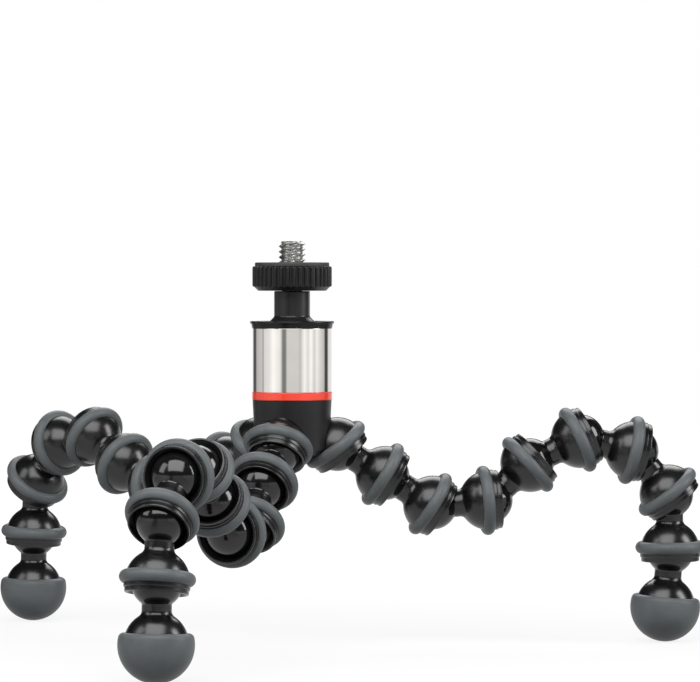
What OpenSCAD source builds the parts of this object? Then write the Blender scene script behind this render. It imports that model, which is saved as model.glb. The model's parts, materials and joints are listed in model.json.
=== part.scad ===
// Flexible leg tripod: a small ball head on a hub that carries three legs of ball-and-socket links.
// Millimetres, +Z up. The origin is the middle of the camera seat, on the axis of the camera screw.

/* [Leg links] */
// Diameter of the ball at the head of each link
ball_d = 11.5; // [10.8:0.1:12.2]
// Play between a ball and the socket around it
ball_play = 0.1; // [0.06:0.01:0.16]
// How much smaller the neck's radius is than the ball's
neck_in = 2.5; // [2.4:0.05:2.8]
// Length of the neck between the ball and the dome
neck_len = 2.35; // [2:0.05:3]
// Radius of the fillets at both ends of the neck
neck_fillet = 0.4; // [0.2:0.1:0.6]
// How far a rounding's circle passes the face that it runs into, so that the two cross cleanly
round_bite = 0.01; // [0.005:0.005:0.02]
// Wall of a socket round the ball's pocket, seen from outside as the dome
socket_wall = 1.25; // [1.1:0.05:1.6]
// How far a socket's lip reaches past the centre of the ball
lip_reach = 2.6; // [2.2:0.1:2.8]
// How far the lip stands out past the dome beside the grip ring
lip_out = 0.1; // [0:0.05:0.3]
// Height of the narrow step at the mouth
mouth_h = 1.05; // [0.8:0.05:1.3]
// Depth of that step
mouth_step = 0.25; // [0.2:0.05:0.4]
// Chamfer on the edges of the lip
lip_chamfer = 0.2; // [0.1:0.05:0.2]
// Largest bend of one ball joint, in degrees
bend_limit = 39; // [30:1:40]
// Gap that stays between a lip and the next link's neck at the largest bend
bend_gap = 0.15; // [0.1:0.05:0.2]

/* [Grip rings] */
// Distance from the middle of a grip ring to the centre of the ball in its socket
ring_to_ball = 0.75; // [0.5:0.05:1]
// How far a rubber ring stands out past the dome
ring_out = 1.2; // [0.8:0.05:1.6]
// Width of the rings along the leg
ring_w = 2.9; // [2.6:0.1:3.2]
// Wall of a socket under the groove that holds a ring
groove_wall = 0.7; // [0.6:0.05:0.9]
// Radius of the rings' rounded face
ring_crown_r = 1.5; // [1.45:0.05:3]

/* [Feet] */
// How far the rubber foot caps stand out past the dome
foot_out = 1.25; // [1:0.05:1.6]
// Distance from the middle of the foot's dome to the middle of the cap's round bottom
foot_drop = 0.15; // [0.05:0.05:1]
// How far the rim of a cap stands above the middle of the foot's dome
foot_rim = 2.4; // [1.8:0.1:3]
// Step from the dome in to the part of the core under the cap
foot_step = 0.55; // [0.3:0.05:0.8]
// Radius of the rounded rim of a foot cap
foot_round = 1.2; // [0.6:0.1:1.4]
// Height of the groove in the core that keeps a cap on
foot_bead_h = 1; // [0.6:0.1:1.4]
// Depth of that groove
foot_bead = 0.6; // [0.3:0.1:0.8]

/* [Hub] */
// How far the hub body stays inside the collar's outside at its top
hub_in = 0.1; // [0:0.05:0.3]
// How much smaller the hub body's radius is at its lower end
hub_draft = 0.55; // [0.3:0.05:0.8]
// Height of the hub body below the accent ring
hub_h = 12.8; // [12:0.1:15]
// Chamfer round the foot of the hub body
hub_chamfer = 1.2; // [0.6:0.1:2]
// Radius from the axis at which the hub's three grip rings are centred
socket_r = 10.5; // [10.2:0.1:12]
// Depth of the hub's grip rings below the top of the hub body
socket_drop = 10.7; // [10:0.1:11.4]
// Slope of the hub's sockets below the horizontal, in degrees
socket_slope = 53; // [48:1:58]
// Gap round each socket's dome in the hub
arch_gap = 0.3; // [0.2:0.05:0.6]
// Gap round each grip ring under the hub
ring_gap = 0.35; // [0.25:0.05:0.6]
// Diameter of the peg that fixes a socket in the hub
peg_d = 5; // [4:0.1:5.4]
// Length of that peg past the dome
peg_len = 4; // [3:0.1:4.5]
// Diameter of the shoulder at the root of the peg
shoulder_d = 6; // [5.6:0.1:6.4]
// Depth to which that shoulder is let into the hub
shoulder_in = 0.4; // [0.2:0.1:0.8]

/* [Leg pose] */
// Turn of each leg's plane away from its own socket in degrees, leg 1 to leg 3
leg_yaw = [-7, 1, 0]; // [-10:1:10]
// Slopes of leg 1's links and then its foot below the horizontal, in degrees
leg_1_slopes = [31, 32, -5, -42, -25, 13, 51, 89, 95]; // [-60:1:100]
// Slopes of leg 2 in degrees: the third one is set so that the feet stand level
leg_2_slopes = [22, 20, 7, -25, -28, 10, 48, 86, 89]; // [-60:1:100]
// Slopes of leg 3 in degrees: the third one is set so that the feet stand level
leg_3_slopes = [34, 42, 4, -33, -35, 3, 41, 79, 87]; // [-60:1:100]

/* [Head] */
// Space between the head's ball and the tube that holds it
ball_room = 0.76; // [0.6:0.02:0.9]
// Play between the head's ball and the pieces that hold it
head_play = 0.1; // [0.06:0.01:0.15]
// Largest tilt of the head, in degrees
tilt_limit = 30; // [20:1:30]
// Spare angle between the stem and the retaining ring at the largest tilt, in degrees
tilt_spare = 1.5; // [1:0.5:3]
// Depth of the ball's centre below the top of the retaining ring
ball_depth = 4.9; // [4.6:0.1:5.2]
// Gap that stays between the stem and the retaining ring's mouth at the largest tilt
stem_gap = 0.25; // [0.15:0.05:0.4]
// How much smaller the stem's radius is than the head ball's
stem_in = 2.95; // [2.7:0.05:3.2]
// Length of the stem that shows above the retaining ring
stem_len = 7.1; // [6.6:0.1:10]
// How far the retaining ring stands out past the collar
retainer_out = 0.5; // [0.3:0.05:0.8]
// Height of the retaining ring's rim above the collar
retainer_h = 1.7; // [1.4:0.1:2.4]
// Thickness of the thin flange on top of the retaining ring
retainer_flange = 0.6; // [0.4:0.1:0.8]
// How far that flange stands out past the tapered band below it
retainer_step = 0.3; // [0.1:0.1:0.5]
// Chamfer round the top of the flange
retainer_chamfer = 0.2; // [0.1:0.05:0.3]
// Gap between the retaining ring's skirt and the ball's seat
skirt_gap = 0.16; // [0.1:0.02:0.3]
// Outside diameter of the steel collar
collar_d = 18.9; // [18.6:0.1:19.3]
// Wall of the steel collar
collar_wall = 0.7; // [0.5:0.05:0.8]
// Height of the steel collar
collar_h = 15; // [14.6:0.1:17]
// How far the accent ring stands out past the collar
accent_out = 0.05; // [0:0.05:0.2]
// Height of the accent ring
accent_h = 1.9; // [1.4:0.1:2.4]
// Wall of the tube that holds the ball
tube_wall = 0.75; // [0.6:0.05:0.8]
// Height of the floor inside the tube above the top of the hub body
tube_floor = 1.4; // [1:0.1:1.8]
// Thickness of the ball's seat under the ball
seat_floor = 1.9; // [1.4:0.1:2.4]
// Height of the seat's wall above its underside
seat_h = 5.8; // [5:0.1:6.2]
// Thickness of the spring washers' sheet
spring_t = 0.5; // [0.3:0.05:0.7]
// Slack of the spring washers in the tube
spring_slack = 0.16; // [0.1:0.02:0.3]

/* [Camera screw] */
// Outside diameter of the thumb wheel over its ribs
wheel_d = 18.8; // [18:0.1:20]
// Height of the ribbed band
wheel_h = 4.9; // [4:0.1:6]
// Height of the chamfer under the ribs
wheel_chamfer = 0.9; // [0.5:0.1:1.4]
// Number of ribs round the wheel
rib_count = 38; // [24:1:44]
// Diameter of one rib
rib_d = 0.9; // [0.6:0.1:1]
// Diameter of the rubber pad that the camera rests on
pad_d = 17.6; // [16:0.1:18]
// Thickness of the pad
pad_h = 0.9; // [0.6:0.1:1.4]
// Diameter of the hole in the pad
pad_hole_d = 8.2; // [8.1:0.1:9]
// Outside diameter of the camera thread, a quarter of an inch
thread_d = 6.35; // [6.3:0.01:6.4]
// Length of thread above the seat
thread_len = 5; // [4:0.1:5.5]
// Chamfer at the tip of the thread
thread_tip = 0.6; // [0.4:0.1:0.8]
// Width across the corners of the screw's hexagonal flange
flange_d = 10; // [9:0.1:11]
// Thickness of that flange
flange_h = 1.6; // [1.2:0.1:2]
// Diameter of the screw's shank in the stem
shank_d = 4.8; // [4:0.1:5]
// Length of shank below the retaining clip
shank_tail = 0.7; // [0.4:0.1:1]
// Diameter of the groove for the retaining clip
clip_groove_d = 3.8; // [3:0.1:4]
// Outside diameter of the retaining clip
clip_d = 6.6; // [6:0.1:7]
// Thickness of the retaining clip
clip_t = 0.6; // [0.4:0.1:0.8]
// Width of the clip's opening
clip_gap = 2.6; // [2:0.1:3]
// Height of the ledge above the clip over the centre of the ball
clip_up = 4; // [3:0.1:5]
// Clearance of the clip inside the ball
clip_room = 0.3; // [0.2:0.1:0.5]
// Running clearance of the screw in the stem
run = 0.08; // [0.05:0.01:0.1]
// Clearance between fixed pieces that fit together
fit = 0.04; // [0.02:0.01:0.06]

/* [Hidden] */
$fn = 64;
LEGS = [1, 2, 3];
LINKS = 8;
BALL_JOINTS = LINKS + 1;
closing_link = 2;
arch_step = 15;
far = 60;

// The other short side of a right triangle
function leg_of(long, short) = sqrt(long * long - short * short);
ball_r = ball_d / 2;
pocket_r = ball_r + ball_play;
neck_r = ball_r - neck_in;
dome_r = pocket_r + socket_wall;
lip_r = dome_r + lip_out;
ring_r = dome_r + ring_out;
groove_r = pocket_r + groove_wall;
pitch = leg_of(ball_r, neck_r) + neck_len + leg_of(dome_r, neck_r);
ring_z = -ring_to_ball;
foot_r = dome_r + foot_out;
foot_core_r = dome_r - foot_step;
shoulder_z = dome_r + arch_gap + shoulder_in;

collar_r = collar_d / 2;
collar_bore_r = collar_r - collar_wall;
tube_r = collar_bore_r - fit;
tube_bore_r = tube_r - tube_wall;
head_ball_r = tube_bore_r - ball_room;
head_pocket_r = head_ball_r + head_play;
stem_r = head_ball_r - stem_in;
wheel_r = wheel_d / 2;
shank_r = shank_d / 2;
clip_well_r = clip_d / 2 + clip_room;

// Heights in the head, counted down from the seat
pad_z = -pad_h;
wheel_z = pad_z - wheel_h;
stem_top = wheel_z - wheel_chamfer - run;
retainer_top = stem_top - stem_len;
collar_top = retainer_top - retainer_h;
collar_z = collar_top - collar_h;
hub_top = collar_z - accent_h;
head_ball_z = retainer_top - ball_depth;
seat_z = head_ball_z - head_pocket_r - seat_floor;
seat_top = seat_z + seat_h;
floor_z = hub_top + tube_floor;
retainer_skirt_z = seat_top + skirt_gap;
clip_z = head_ball_z + clip_up;

// The mouth of the retaining ring lets the stem lean over to the tilt limit
throat_angle = asin(stem_r / head_ball_r) + tilt_limit + tilt_spare;
throat_r = head_pocket_r * sin(throat_angle);
throat_up = head_pocket_r * cos(throat_angle);
rim_r = ball_depth * tan(tilt_limit) + stem_r / cos(tilt_limit) + stem_gap;

function total(list, i = 0) = i < len(list) ? list[i] + total(list, i + 1) : 0;
function drops(slopes) = total([for (s = slopes) sin(s)]);
function level(slopes) = asin(drops(leg_1_slopes) - drops(slopes) + sin(slopes[closing_link]));
function levelled(slopes) = [for (i = [0 : LINKS]) i == closing_link ? level(slopes) : slopes[i]];
leg_slopes = [leg_1_slopes, levelled(leg_2_slopes), levelled(leg_3_slopes)];

// Slope of a link, or of the foot, which is number 9
function slope(leg, k) = leg_slopes[leg - 1][k - 1];
function socket_turn(leg) = (leg - 1) * 360 / len(LEGS);
function along(angle) = [cos(angle), -sin(angle)];

// Centre of a link's ball in the plane of its leg, counted from the ball in the hub's socket
function ball_at(leg, k) = k == 1 ? [0, 0] : ball_at(leg, k - 1) + pitch * along(slope(leg, k - 1));
hub_ring_at = [socket_r, hub_top - socket_drop];
hub_ball_at = hub_ring_at + ring_to_ball * along(socket_slope);

function link_name(leg, k) = str("leg_", leg, "_link_", k);
function foot_name(leg) = str("leg_", leg, "_foot");
function cap_name(leg) = str("leg_", leg, "_foot_cap");
function socket_name(leg) = str("hub_socket_", leg);
function hub_ring_name(leg) = str("hub_ring_", leg);

HEAD_NODES = [
    "hub_body", "accent_ring", "steel_collar", "retaining_ring", "ball_seat", "spring_washers",
    "ball_stud", "thumb_wheel", "wheel_pad", "camera_screw", "screw_clip"
];
HUB_NODES = [for (leg = LEGS) each [socket_name(leg), hub_ring_name(leg)]];
LINK_NODES = [for (leg = LEGS, k = [1 : LINKS]) link_name(leg, k)];
FOOT_NODES = [for (leg = LEGS) each [foot_name(leg), cap_name(leg)]];

gloss_black = [0.05, 0.05, 0.055];
soft_black = [0.17, 0.17, 0.175];
rubber_grey = [0.27, 0.275, 0.28];
steel = [0.78, 0.77, 0.75];
accent_red = [0.86, 0.14, 0.09];
nylon_white = [0.88, 0.87, 0.82];

// Turns a drawing about the axis, keeping only its right half
module turned() {
    rotate_extrude() intersection() {
        children();
        translate([0, -far]) square([far, 2 * far]);
    }
}

module bore(r) {
    cylinder(r = r, h = 2 * far, center = true);
}

// Puts a link's own axis, with its ball at the origin, in its place on a leg
module on_leg(leg, k) {
    at = ball_at(leg, k);
    rotate([0, 0, socket_turn(leg)]) translate([hub_ball_at[0], 0, hub_ball_at[1]])
        rotate([0, 0, leg_yaw[leg - 1]]) translate([at[0], 0, at[1]])
            rotate([0, 90 + slope(leg, k), 0]) children();
}

// Puts a socket's own axis, with the middle of its pocket at the origin, in its place on the hub
module on_hub(leg) {
    rotate([0, 0, socket_turn(leg)]) translate([hub_ball_at[0], 0, hub_ball_at[1]])
        rotate([0, 90 + socket_slope, 0]) children();
}

// The dome behind a socket, whose middle is the origin
module dome_shape() {
    intersection() {
        circle(dome_r);
        translate([-far, -2 * far]) square([2 * far, 2 * far]);
    }
}

// The end of the neck on a sphere about the origin, with its fillet
module neck_end_shape(sphere_r) {
    reach = neck_fillet - round_bite;
    fillet_at = [neck_r + reach, leg_of(sphere_r + reach, neck_r + reach)];
    difference() {
        polygon([[0, 0], fillet_at, [0, fillet_at[1]]]);
        translate(fillet_at) circle(neck_fillet);
    }
}

module ball_and_neck_shape() {
    translate([0, -pitch]) {
        circle(ball_r);
        neck_end_shape(ball_r);
        square([neck_r, pitch]);
    }
    mirror([0, 1]) neck_end_shape(dome_r);
}

// The stepped lip outside a socket
module lip_shape() {
    step_z = lip_reach - mouth_h;
    mouth_r = lip_r - mouth_step;
    polygon([
        [0, 0], [lip_r, 0], [lip_r, step_z - lip_chamfer], [lip_r - lip_chamfer, step_z],
        [mouth_r, step_z], [mouth_r, lip_reach - lip_chamfer], [mouth_r - lip_chamfer, lip_reach],
        [0, lip_reach]
    ]);
}

// The pocket for the next ball, and the flare that the next link's neck needs at its largest bend
module pocket_shape() {
    neck_room = (neck_r + bend_gap) / cos(bend_limit);
    flare_h = 2 * lip_reach;
    circle(pocket_r);
    polygon([[0, 0], [neck_room, 0], [neck_room + flare_h * tan(bend_limit), flare_h], [0, flare_h]]);
}

module ring_groove_shape() {
    translate([groove_r, ring_z - ring_w / 2]) square([far, ring_w]);
}

module socket_shape() {
    difference() {
        union() {
            dome_shape();
            lip_shape();
            children();
        }
        pocket_shape();
        ring_groove_shape();
    }
}

module grip_ring() {
    color(rubber_grey) turned() translate([0, ring_z]) intersection() {
        translate([groove_r + fit, fit - ring_w / 2]) square([ring_r, ring_w - 2 * fit]);
        translate([ring_r - ring_crown_r, 0]) circle(ring_crown_r);
    }
}

module leg_link(leg, k) {
    on_leg(leg, k) translate([0, 0, pitch]) {
        color(gloss_black) turned() socket_shape() ball_and_neck_shape();
        grip_ring();
    }
}

// The part of a foot's core that the rubber cap wraps round
module foot_plug_shape() {
    difference() {
        union() {
            square([foot_core_r, foot_drop]);
            translate([0, foot_drop]) circle(foot_core_r);
        }
        translate([foot_core_r - foot_bead, foot_drop]) square([far, foot_bead_h]);
    }
}

module foot_core_shape() {
    dome_shape();
    ball_and_neck_shape();
    foot_plug_shape();
}

module foot(leg) {
    color(gloss_black) on_leg(leg, BALL_JOINTS) translate([0, 0, pitch]) turned() foot_core_shape();
}

// The outside of a cap: a round face like a ball's, and a rounded rim that runs into it
module foot_cap_shape() {
    round_up = foot_rim + foot_drop - foot_round;
    round_r = leg_of(foot_r - foot_round + round_bite, round_up);
    side_z = foot_drop - foot_r * round_up / (foot_r - foot_round);
    translate([0, -foot_rim]) square([round_r, foot_rim + foot_drop]);
    translate([round_r, foot_round - foot_rim]) circle(foot_round);
    intersection() {
        translate([0, foot_drop]) circle(foot_r);
        translate([0, side_z]) square([far, far]);
    }
}

module foot_cap(leg) {
    color(rubber_grey) on_leg(leg, BALL_JOINTS) translate([0, 0, pitch]) turned() difference() {
        foot_cap_shape();
        foot_core_shape();
    }
}

module peg_shape(gap) {
    translate([0, -dome_r - peg_len - gap]) square([peg_d / 2 + gap, dome_r + peg_len]);
}

module hub_socket(leg) {
    color(gloss_black) on_hub(leg) turned() socket_shape() {
        peg_shape(0);
        translate([0, -shoulder_z]) square([shoulder_d / 2, shoulder_z]);
    }
}

module hub_ring(leg) {
    on_hub(leg) grip_ring();
}

// What each socket and its grip ring need cut from the hub body, the arch in short straight steps
module arch_shape() {
    ring_room_z = ring_z - ring_w / 2 - ring_gap;
    arch_r = dome_r + arch_gap;
    polygon(concat([[0, 0]], [for (turn = [0 : arch_step : 90]) arch_r * along(turn)]));
    translate([0, -shoulder_z]) square([shoulder_d / 2 + fit, shoulder_z]);
    translate([0, ring_room_z]) square([ring_r + ring_gap, far]);
    peg_shape(fit);
}

module hub_body() {
    hub_r = collar_r - hub_in;
    hub_low_r = hub_r - hub_draft;
    hub_foot = hub_top - hub_h;
    tube_top = collar_top - run;
    color(soft_black) difference() {
        turned() difference() {
            union() {
                polygon([
                    [0, hub_foot], [hub_low_r - hub_chamfer, hub_foot], [hub_low_r, hub_foot + hub_chamfer],
                    [hub_r, hub_top], [0, hub_top]
                ]);
                translate([0, hub_top]) square([tube_r, tube_top - hub_top]);
            }
            translate([0, floor_z]) square([tube_bore_r, far]);
        }
        for (leg = LEGS) on_hub(leg) turned() arch_shape();
    }
}

module accent_ring() {
    color(accent_red) translate([0, 0, hub_top]) difference() {
        cylinder(r = collar_r + accent_out, h = accent_h);
        bore(collar_bore_r);
    }
}

module steel_collar() {
    color(steel) translate([0, 0, collar_z]) difference() {
        cylinder(r = collar_r, h = collar_h);
        bore(collar_bore_r);
    }
}

// The threaded ring over the ball, with a skirt inside the tube and a dished mouth
module retaining_ring() {
    rim = collar_r + retainer_out;
    flange_z = retainer_top - retainer_flange;
    skirt_r = tube_bore_r - fit;
    color(gloss_black) turned() difference() {
        union() {
            polygon([
                [0, collar_top], [collar_r, collar_top], [rim - retainer_step, flange_z], [rim, flange_z],
                [rim, retainer_top - retainer_chamfer], [rim - retainer_chamfer, retainer_top],
                [0, retainer_top]
            ]);
            translate([0, retainer_skirt_z]) square([skirt_r, collar_top - retainer_skirt_z]);
        }
        translate([0, head_ball_z]) {
            circle(head_pocket_r);
            polygon([
                [0, 0], [throat_r, 0], [throat_r, throat_up], [rim_r, ball_depth],
                [rim_r, 2 * ball_depth], [0, 2 * ball_depth]
            ]);
        }
    }
}

module ball_seat() {
    color(nylon_white) turned() difference() {
        translate([0, seat_z]) square([tube_bore_r - run, seat_h]);
        translate([0, head_ball_z]) circle(head_pocket_r);
    }
}

// Two coned washers, back to back, that press the seat against the ball
module spring_washers() {
    room = seat_z - run - floor_z;
    rise = room / 2 - spring_t;
    back = fit / 2;
    face = back + spring_t - fit;
    outer = tube_bore_r - spring_slack;
    inner = outer / 2;
    color(steel) for (flip = [0, 1]) translate([0, 0, floor_z + room / 2]) mirror([0, 0, flip])
        turned() polygon([[inner, back], [outer, back + rise], [outer, face + rise], [inner, face]]);
}

// Ball and stem in one piece, hollow below for the screw's clip
module ball_stud() {
    color(soft_black) turned() difference() {
        union() {
            translate([0, head_ball_z]) circle(head_ball_r);
            translate([0, head_ball_z]) square([stem_r, stem_top - head_ball_z]);
        }
        translate([0, head_ball_z - head_ball_r]) square([clip_well_r, head_ball_r + clip_up]);
        translate([0, head_ball_z]) square([shank_r + run, far]);
    }
}

module thumb_wheel() {
    core_r = wheel_r - rib_d / 2;
    color(soft_black) difference() {
        union() {
            translate([0, 0, wheel_z]) linear_extrude(wheel_h) {
                circle(core_r);
                for (i = [1 : rib_count]) rotate(i * 360 / rib_count)
                    translate([core_r, 0]) circle(d = rib_d, $fn = 16);
            }
            translate([0, 0, wheel_z - wheel_chamfer])
                cylinder(r1 = core_r - wheel_chamfer, r2 = core_r, h = wheel_chamfer);
        }
        translate([0, 0, pad_z - flange_h]) cylinder(d = flange_d + 2 * fit, h = far, $fn = 6);
        bore(shank_r + fit);
    }
}

module wheel_pad() {
    color(rubber_grey) translate([0, 0, pad_z]) difference() {
        cylinder(d = pad_d, h = pad_h);
        bore(pad_hole_d / 2);
    }
}

module camera_screw() {
    shank_end = clip_z - run - clip_t - shank_tail;
    thread_r = thread_d / 2;
    flange_mid = pad_z - flange_h / 2;
    color(steel) {
        translate([0, 0, pad_z - flange_h]) cylinder(d = flange_d, h = flange_h, $fn = 6);
        turned() difference() {
            polygon([
                [0, shank_end], [shank_r, shank_end], [shank_r, flange_mid], [thread_r, flange_mid],
                [thread_r, thread_len - thread_tip], [thread_r - thread_tip, thread_len], [0, thread_len]
            ]);
            translate([clip_groove_d / 2, clip_z - clip_t - run]) square([far, clip_t]);
        }
    }
}

// The open spring clip that keeps the screw in the stem
module screw_clip() {
    color(steel) translate([0, 0, clip_z - clip_t - run]) linear_extrude(clip_t - fit) difference() {
        circle(d = clip_d);
        circle(d = clip_groove_d + 2 * fit);
        translate([0, -clip_gap / 2]) square([clip_d, clip_gap]);
    }
}

hub_body();
accent_ring();
steel_collar();
retaining_ring();
ball_seat();
spring_washers();
ball_stud();
thumb_wheel();
wheel_pad();
camera_screw();
screw_clip();
for (leg = LEGS) {
    hub_socket(leg);
    hub_ring(leg);
    for (k = [1 : LINKS]) leg_link(leg, k);
    foot(leg);
    foot_cap(leg);
}
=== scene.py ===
# %% [markdown]
# A flexible leg tripod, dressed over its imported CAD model.
# The real object is a small ball head on a hub, with legs made of moulded balls and sockets that
# hold any bend by friction. Nearly every piece was turned or moulded round an axis, so this
# lesson draws half outlines, spins them and sets each one on the joint that the CAD model gives.

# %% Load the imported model
import json
import math

import bpy
from mathutils import Matrix, Quaternion, Vector


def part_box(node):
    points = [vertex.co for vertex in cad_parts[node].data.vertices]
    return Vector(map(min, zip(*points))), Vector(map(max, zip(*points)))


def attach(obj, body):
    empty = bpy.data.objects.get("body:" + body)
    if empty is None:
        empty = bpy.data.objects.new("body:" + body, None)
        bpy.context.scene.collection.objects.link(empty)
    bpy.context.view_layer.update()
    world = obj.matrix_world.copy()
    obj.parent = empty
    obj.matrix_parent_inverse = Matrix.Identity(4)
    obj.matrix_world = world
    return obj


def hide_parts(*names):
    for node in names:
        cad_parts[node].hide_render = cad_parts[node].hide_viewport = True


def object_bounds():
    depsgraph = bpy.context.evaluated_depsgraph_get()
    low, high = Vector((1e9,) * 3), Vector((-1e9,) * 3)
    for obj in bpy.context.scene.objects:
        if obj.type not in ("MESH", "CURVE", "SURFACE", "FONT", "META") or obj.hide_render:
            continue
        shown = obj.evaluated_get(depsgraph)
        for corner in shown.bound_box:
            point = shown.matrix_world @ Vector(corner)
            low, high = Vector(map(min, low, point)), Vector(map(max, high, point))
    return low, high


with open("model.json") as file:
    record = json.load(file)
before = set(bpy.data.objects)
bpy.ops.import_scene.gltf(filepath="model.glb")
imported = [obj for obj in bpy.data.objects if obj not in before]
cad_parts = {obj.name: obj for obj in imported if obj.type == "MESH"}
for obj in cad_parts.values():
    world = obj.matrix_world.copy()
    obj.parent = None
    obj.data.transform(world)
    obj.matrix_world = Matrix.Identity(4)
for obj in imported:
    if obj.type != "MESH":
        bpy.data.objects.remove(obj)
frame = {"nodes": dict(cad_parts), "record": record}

cad_low, cad_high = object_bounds()
MM = 0.001
scene = bpy.context.scene
scene.view_settings.view_transform = "Standard"
print("CAD box in mm:", [round(side / MM, 1) for side in cad_high - cad_low])

# %% [markdown]
# The scene's camera comes first, so that every later look at a piece is from the right place.
# The picture was taken with a long lens from nearly a metre away, a little above the hub.
# A long lens flattens the legs, and a short one would spread them, so the focal length matters
# more here than the aim.

# %% Camera
PHOTO_WIDTH = 700
FOCAL_PIXELS = 4037
SENSOR_WIDTH = 36
CLIP_NEAR, CLIP_FAR = 0.01, 20
CAMERA_AT = Vector((-198.6, -934.1, -3.1)) * MM
CAMERA_AIM = Vector((13.4, -2.85, -18.6)) * MM

lens = bpy.data.cameras.new("camera")
lens.sensor_width = SENSOR_WIDTH
lens.lens = FOCAL_PIXELS / PHOTO_WIDTH * SENSOR_WIDTH
lens.clip_start = CLIP_NEAR
lens.clip_end = CLIP_FAR
camera = bpy.data.objects.new("camera", lens)
camera.location = CAMERA_AT
camera.rotation_euler = (CAMERA_AIM - CAMERA_AT).to_track_quat("-Z", "Y").to_euler()
scene.collection.objects.link(camera)
scene.camera = camera
print("camera lens in mm:", round(lens.lens, 1))

# %% [markdown]
# Glossy black plastic and polished steel show their form only by what they mirror, so the studio
# is part of the look. Four soft boxes stand round the object and give each dome its small lights.
# One is behind, so that the back of the tripod can be read as well. Soft boxes are area lamps:
# a point lamp would leave a hard dot on every dome.

# %% Lamps
TOWARDS_CAMERA = math.atan2(CAMERA_AT.y, CAMERA_AT.x)
STUDIO_MIDDLE = Vector((0, 0, -45)) * MM


def studio_point(turn, lift, reach):
    """A point round the object: turn to the camera's right and lift in degrees, reach in metres."""
    way = TOWARDS_CAMERA + math.radians(turn)
    up = math.radians(lift)
    flat = reach * math.cos(up)
    return STUDIO_MIDDLE + Vector((flat * math.cos(way), flat * math.sin(way), reach * math.sin(up)))


def soft_box(name, turn, lift, reach, width, height, watts):
    """A rectangular lamp that looks at the middle of the studio."""
    lamp = bpy.data.lights.new(name, "AREA")
    lamp.shape = "RECTANGLE"
    lamp.size = width
    lamp.size_y = height
    lamp.energy = watts
    box = bpy.data.objects.new(name, lamp)
    box.location = studio_point(turn, lift, reach)
    box.rotation_euler = (STUDIO_MIDDLE - box.location).to_track_quat("-Z", "Y").to_euler()
    scene.collection.objects.link(box)


soft_box("left_soft_box", turn=-68, lift=30, reach=0.60, width=0.26, height=0.34, watts=1.0)
soft_box("right_soft_box", turn=78, lift=24, reach=0.60, width=0.22, height=0.34, watts=2.0)
soft_box("front_soft_box", turn=-8, lift=46, reach=0.40, width=0.42, height=0.34, watts=2.3)
soft_box("back_soft_box", turn=172, lift=42, reach=0.60, width=0.50, height=0.34, watts=2.0)

# %% [markdown]
# World, floor and finishes are all small trees of nodes. A node, its settings and its links take
# many lines when each is written out, so one helper makes a node and fills its sockets, with a
# plain value or with a link. The others are the few sums that the trees share.

# %% Node helpers
WHITE = (1, 1, 1, 1)


def add_node(tree, kind, sockets, **settings):
    """A node with its settings made and each given socket filled by a value or by a link."""
    made = tree.nodes.new(kind)
    for name, value in settings.items():
        setattr(made, name, value)
    for name, value in sockets.items():
        if isinstance(value, bpy.types.NodeSocket):
            tree.links.new(value, made.inputs[name])
        else:
            made.inputs[name].default_value = value
    return made


def calculate(tree, operation, first, second):
    return add_node(tree, "ShaderNodeMath", {0: first, 1: second}, operation=operation).outputs[0]


def remap(tree, value, ends, new_ends=(0, 1)):
    """A value brought from the range between two ends to another range, and held there."""
    sockets = {"Value": value, "From Min": ends[0], "From Max": ends[1]}
    sockets.update({"To Min": new_ends[0], "To Max": new_ends[1]})
    return add_node(tree, "ShaderNodeMapRange", sockets).outputs["Result"]


def mix_shaders(tree, share, first, second):
    sockets = {"Fac": share, 1: first.outputs[0], 2: second.outputs[0]}
    return add_node(tree, "ShaderNodeMixShader", sockets)


def colour_ramp(tree, value, stops):
    """A colour that follows a value through pairs of place and colour."""
    ramp = add_node(tree, "ShaderNodeValToRGB", {"Fac": value})
    marks = ramp.color_ramp.elements
    while len(marks) < len(stops):
        marks.new(0.5)  # any place, each mark moves to its own below
    for mark, (place_on_bar, colour) in zip(marks, stops):
        mark.position = place_on_bar
        mark.color = (*colour, 1)
    return ramp.outputs["Color"]


# %% [markdown]
# Round the object hang white sheets with dark gaps between them, which draw upright lines on the
# steel collar. They could be real panels, but panels would throw shadows and stand in the way of
# turned views. So the sheets are a pattern by direction: a list of angles round the object, with 0
# at the camera, and of the grey that a mirror sees there. Only mirrored rays see it.

# %% Sheets round the object
SHEETS = [
    (-180, 0.75), (-154, 0.70), (-148, 0.08), (-130, 0.08), (-123, 0.45), (-98, 0.55), (-92, 0.30),
    (-88, 0.68), (-70, 0.75), (-56, 1.0), (-34, 0.80), (-27, 0.20), (-19, 0.20), (-14, 0.62), (18, 0.62),
    (23, 0.50), (36, 0.95), (47, 0.72), (56, 1.0), (68, 0.62), (75, 0.88), (88, 0.68), (106, 0.48),
    (110, 0.06), (123, 0.06), (130, 0.70), (180, 0.75),
]


def hang_sheets(tree, way):
    """The sheets' grey in the direction of a vector."""
    sockets = {"Vector": way, "Angle": -TOWARDS_CAMERA}
    facing = add_node(tree, "ShaderNodeVectorRotate", sockets, rotation_type="Z_AXIS")
    axes = add_node(tree, "ShaderNodeSeparateXYZ", {0: facing.outputs["Vector"]})
    turn = calculate(tree, "ARCTAN2", axes.outputs["Y"], axes.outputs["X"])
    around = remap(tree, turn, (-math.pi, math.pi))
    return colour_ramp(tree, around, [((angle + 180) / 360, (grey,) * 3) for angle, grey in SHEETS])


def light_path_mask(tree):
    """The light path, and one for rays that the eye, a gloss or a glass sends, or else nothing."""
    path = add_node(tree, "ShaderNodeLightPath", {}).outputs
    mask = calculate(tree, "MAXIMUM", path["Is Camera Ray"], path["Is Glossy Ray"])
    return path, calculate(tree, "MAXIMUM", mask, path["Is Transmission Ray"])


print("marks on the sheets:", len(SHEETS))

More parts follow.
